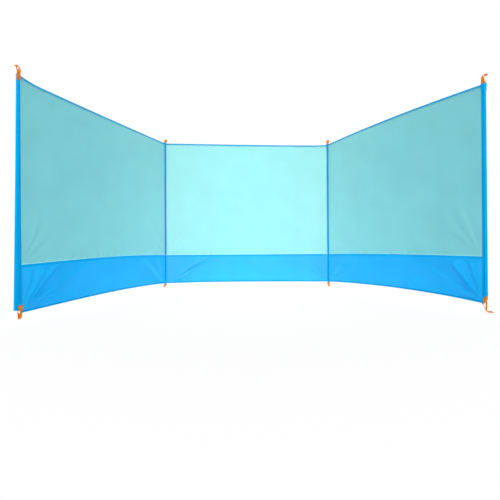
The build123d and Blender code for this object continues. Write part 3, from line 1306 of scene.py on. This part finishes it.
BAYS = (
    Bay(
        "left_wing", "left_wing", LEFT_CORNER, ALONG_LEFT, FRONT_LEFT,
        top=Course(TOP_LEVEL, climb=-4.0, bow=-4.0, lean=0.7, lift=9.0),
        seam=Course(SEAM_LEVEL, climb=-4.0, bow=10.0, lean=0.45),
        hem=Course(HEM_LEVEL, climb=-7.0, bow=12.0, lean=0.44),
        held_by=("left_middle", "left_end"),
        skirt_folds=(
            FanFolds(1046.0, 6.0, -1, (
                (4, 0), (16, -2.2), (26, 2.2), (38, -2), (46.5, 2.4), (51.5, 0.8), (57, 2.2),
                (67, 0.2), (74, 1.3), (86, 0),
            ), grow=110.0, reach=500.0),
            FanFolds(12.0, 9.0, 1, (
                (4, 0), (31, -2.2), (40, 2.2), (51, -1.2), (58, -0.8), (66, 1.4), (76, -0.2), (85, 0),
            ), grow=90.0, reach=330.0),
        ),
        sheer_folds=(
            FanFolds(1046.0, 185.0, -1, (
                (18, 0), (28, 1.6), (36, -0.4), (48, 1.8), (58, -0.4), (66, 2), (76, 0.2), (82, 0),
            ), grow=60.0, reach=260.0, swell=2.4),
            FanFolds(12.0, 189.0, 1, (
                (15, 0), (30, 1.2), (44, -0.4), (58, 1.2), (75, 0),
            ), grow=60.0, reach=300.0),
        ),
        seed=3.1,
        sleeve=LEFT_SLACK,
    ),
    Bay(
        "middle_bay", "root", LEFT_CORNER, ALONG_MIDDLE, FRONT_MIDDLE,
        top=Course(TOP_LEVEL, bow=-6.5, lean=0.78),
        seam=Course(SEAM_LEVEL),
        hem=Course(HEM_LEVEL, bow=5.0, lean=0.4),
        held_by=("left_middle", "right_middle"),
        skirt_folds=(
            FanFolds(12.0, 9.0, 1, (
                (3, 0), (26.5, -1.6), (28.5, 1.4), (31.5, -0.8), (34.5, 1.6), (60, 0),
            ), grow=110.0, reach=560.0),
            FanFolds(1048.0, 9.0, -1, (
                (20, 0), (32, 0.8), (42, -0.3), (54, 0.8), (70, 0),
            ), grow=90.0, reach=380.0),
        ),
        sheer_folds=(
            FanFolds(12.0, 189.0, 1, (
                (15, 0), (30, 1.2), (44, -0.3), (58, 1), (75, 0),
            ), grow=60.0, reach=300.0),
        ),
        seed=8.4,
    ),
    Bay(
        "right_wing", "right_wing", RIGHT_CORNER, ALONG_RIGHT, FRONT_RIGHT,
        top=Course(TOP_LEVEL, climb=-4.0, bow=11.0),
        seam=Course(SEAM_LEVEL, climb=14.0, bow=4.5),
        hem=Course(HEM_LEVEL, climb=4.5, bow=17.0, lean=0.55),
        held_by=("right_middle", "right_end"),
        skirt_folds=(
            FanFolds(1048.0, 18.0, -1, (
                (4, 0), (12, -1.8), (19, 0.8), (27, 2.4), (40, -2.6), (50, 2.4), (63, -1.4), (72, 1.2),
                (77, 0.5), (82, 1.1), (88, 0),
            ), grow=100.0, reach=450.0),
            FanFolds(12.0, 9.0, 1, (
                (14, 0), (26, 1), (36, -0.4), (50, 1), (66, 0),
            ), grow=90.0, reach=360.0),
        ),
        sheer_folds=(
            FanFolds(1048.0, 204.0, -1, (
                (14, 0), (24, 1.6), (31, -0.6), (42, 2.2), (50, -0.6), (62, 2.2), (70, -0.4), (80, 0),
            ), grow=60.0, reach=320.0, swell=2.4),
        ),
        seed=14.7,
        sleeve=RIGHT_SLACK,
    ),
)

SLEEVES = (
    PoleSleeve("left_middle", "root", LEFT_CORNER, ALONG_MIDDLE, FRONT_MIDDLE, seed=1.0),
    PoleSleeve("right_middle", "root", RIGHT_CORNER, ALONG_MIDDLE, FRONT_MIDDLE, seed=2.0),
    PoleSleeve("left_end", "left_wing", LEFT_END, ALONG_LEFT, FRONT_LEFT, seed=3.0, slack=LEFT_SLACK),
    PoleSleeve("right_end", "right_wing", RIGHT_END, ALONG_RIGHT, FRONT_RIGHT, seed=4.0, slack=RIGHT_SLACK),
)

LOOPS = (
    WebbingLoop("left_end_top_loop", "left_wing", LEFT_END, (
        (5.6, -5, 891, 68), (5.6, -5, 905, 68), (5.8, -4.6, 915, 70), (7.4, -2.6, 925, 84),
        (7.2, -1.4, 934.5, 94), (5.4, -0.6, 941.5, 98), (2.2, 0, 944.6, 98), (-2, 0.3, 946.4, 98),
        (-6, 0.5, 946.8, 98), (-8.8, 0.7, 945.8, 98), (-6.6, 1, 943.2, 98), (-4.8, 1.6, 938.6, 100),
        (-3.6, 2.6, 932.6, 100), (-2.2, 3.8, 926, 96), (-3, 6.2, 918, 88), (-4.2, 8.4, 908, 68),
        (-4.2, 8.5, 893, 68),
    ), tacked=True),
    WebbingLoop("left_end_bottom_loop", "left_wing", LEFT_END, (
        (10.4, 1.6, 32.5, 55), (10.4, 1.6, 25, 55), (11, 1.2, 18, 66), (12.2, 0.8, 9.5, 92),
        (11.6, 0.4, 1, 88), (10.4, 0.2, -8, 80), (8.8, 0.2, -15.5, 79), (7.6, 0.3, -18.6, 79),
        (6.2, 0.5, -15, 80), (5.2, 0.8, -7, 82), (3, 1.6, 0, 96), (-0.4, 2.6, 6, 114),
        (-2.4, 3.8, 12, 112), (-4, 5, 17.5, 92), (-5.3, 6, 23, 76), (-5.3, 6.3, 31, 68),
    ), tacked=True),
    WebbingLoop("right_end_top_loop", "right_wing", RIGHT_END, (
        (-6.2, -3, 889, 111.5), (-6.2, -3, 899, 111.5), (-6, -3.2, 909, 110), (-5.6, -3.4, 918.2, 106),
        (-5.9, -2.2, 926.5, 96), (-5.8, -1.2, 932.4, 86), (-3, -0.4, 938.2, 80), (2.7, 0, 941.8, 78),
        (10.4, 0.3, 943.2, 74), (16.2, 0.6, 942.2, 72), (11.4, 0.9, 939, 74), (6.6, 1.4, 935, 76),
        (3.4, 2.6, 929.1, 76), (1.8, 4.4, 921.8, 82), (3, 4.8, 914.6, 96), (5.6, 3.2, 908, 110),
        (6.5, 2.2, 902, 111.5), (6.6, 2.1, 889, 111.5),
    )),
    WebbingLoop("right_end_bottom_loop", "right_wing", RIGHT_END, (
        (-6.2, -3, 48, 111.5), (-6.2, -3, 34, 111.5), (-5.8, -3.2, 26, 106), (-2.6, -3.8, 20, 84),
        (-0.8, -3.2, 13, 74), (-0.2, -2, 3.1, 74), (-0.2, -1, -7.3, 72), (4.4, -0.4, -14.4, 66),
        (13.7, 0, -17.6, 64), (23.6, 0.4, -18.9, 64), (26, 0.8, -20.3, 64), (22.3, 1.2, -21.2, 64),
        (10.9, 1.8, -20.3, 64), (2, 3, -16.6, 62), (-1.4, 5, -9.1, 60), (-3.1, 8, 1.3, 60),
        (-4.5, 11, 9.3, 66), (-3.6, 12.2, 15, 92), (-2.8, 12.3, 24, 111.5),
    )),
    WebbingLoop("left_middle_top_loop", "root", LEFT_CORNER, (
        (1.4, -6.5, 914.6, 4), (3.2, -6.5, 919, 14), (5.6, -5, 925, 34), (5.6, -2.6, 931, 44),
        (4.6, 0.8, 933.6, 46), (4.8, 3.6, 930, 42), (4, 5.6, 925, 28), (2, 6.5, 920, 6),
        (1, 6.5, 914.6, 2),
    )),
    WebbingLoop("left_middle_bottom_loop", "root", LEFT_CORNER, (
        (0, -6.5, 3.4, -4), (-0.8, -6.4, -0.8, -12), (-3.4, -4.6, -5.4, -32), (-7, -2, -9.8, -44),
        (-9, 0.6, -11.4, -48), (-7.4, 3.2, -9.2, -44), (-3.2, 5.4, -5, -28), (-0.6, 6.5, -1.2, -8),
        (0.2, 6.5, 3.4, -2),
    )),
    WebbingLoop("right_middle_top_loop", "root", RIGHT_CORNER, (
        (0, -6.5, 914.6, -6), (0.6, -6.5, 920, -18), (2.2, -4.8, 928, -40), (2.6, -2.4, 934.6, -50),
        (2.4, 0.4, 937.2, -52), (1.6, 3, 934, -50), (0.8, 5.2, 927.4, -36), (0, 6.5, 920, -10),
        (0, 6.5, 914.6, -4),
    )),
    WebbingLoop("right_middle_bottom_loop", "root", RIGHT_CORNER, (
        (0, -6.5, 3.4, 6), (0.2, -6.4, -2, 14), (1.6, -4.6, -10, 34), (2.8, -2, -18, 44),
        (3.4, 0.4, -21, 46), (2.6, 2.8, -17, 42), (1, 5.2, -9, 28), (0.2, 6.5, -1.6, 10),
        (0, 6.5, 3.4, 4),
    )),
)

CAMERA = PhotoCamera(
    place=Vector((421.4, -2479.1, 264.8)),
    yaw=0.0499,
    pitch=0.0103,
    roll=0.0057,
    focal=381.53,
    horizon=238.97,
)

# The lamps behind stand for a bright white backdrop, whose light comes through the sheer cloth
STUDIO = Studio(
    floor_level=-34.0,
    middle=(530.0, -450.0),
    shadow_fades=(800.0, 1700.0),
    whiteness=0.9,
    ambient=0.50,
    lamps=(
        SoftLight("front_softbox", (430, -3600, 200), (530, 0, 450), (2000, 900), 14.0, 120.0),
        SoftLight("left_softbox", (-1500, -3200, 1000), (300, 0, 450), (1200, 1200), 23.0, 140.0),
        SoftLight("right_softbox", (2560, -3200, 1000), (760, 0, 450), (1200, 1200), 23.0, 140.0),
        SoftLight("overhead_softbox", (530, -350, 2300), (530, -350, 0), (900, 500), 3.0, 50.0),
        SoftLight("back_softbox", (530, 2000, 900), (530, 0, 450), (2200, 1400), 70.0, 140.0),
        SoftLight("left_back_softbox", (-500, 900, 550), (-60, -150, 450), (700, 700), 13.0, 140.0),
        SoftLight("right_back_softbox", (1560, 900, 550), (1120, -150, 450), (700, 700), 15.0, 140.0),
    ),
)


def dress_poles() -> None:
    """Gives the poles, feet and caps, which keep their CAD shapes, their finishes."""
    for name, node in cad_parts.items():
        if node.hide_render:
            continue
        node.data.materials.clear()
        node.data.materials.append((Finish.STEEL if name.endswith("_pole") else Finish.CAP).material)
        log.info("%s keeps its CAD shape", name)


def main() -> None:
    """Builds the windbreak and its studio."""
    logging.basicConfig(level=logging.INFO, format="%(name)s: %(message)s")
    CAMERA.build()
    STUDIO.build()
    for sewn in (*BAYS, *SLEEVES, *LOOPS):
        sewn.dress()
    dress_poles()
    bpy.context.scene.view_settings.view_transform = "Standard"


if __name__ == "__main__":
    main()
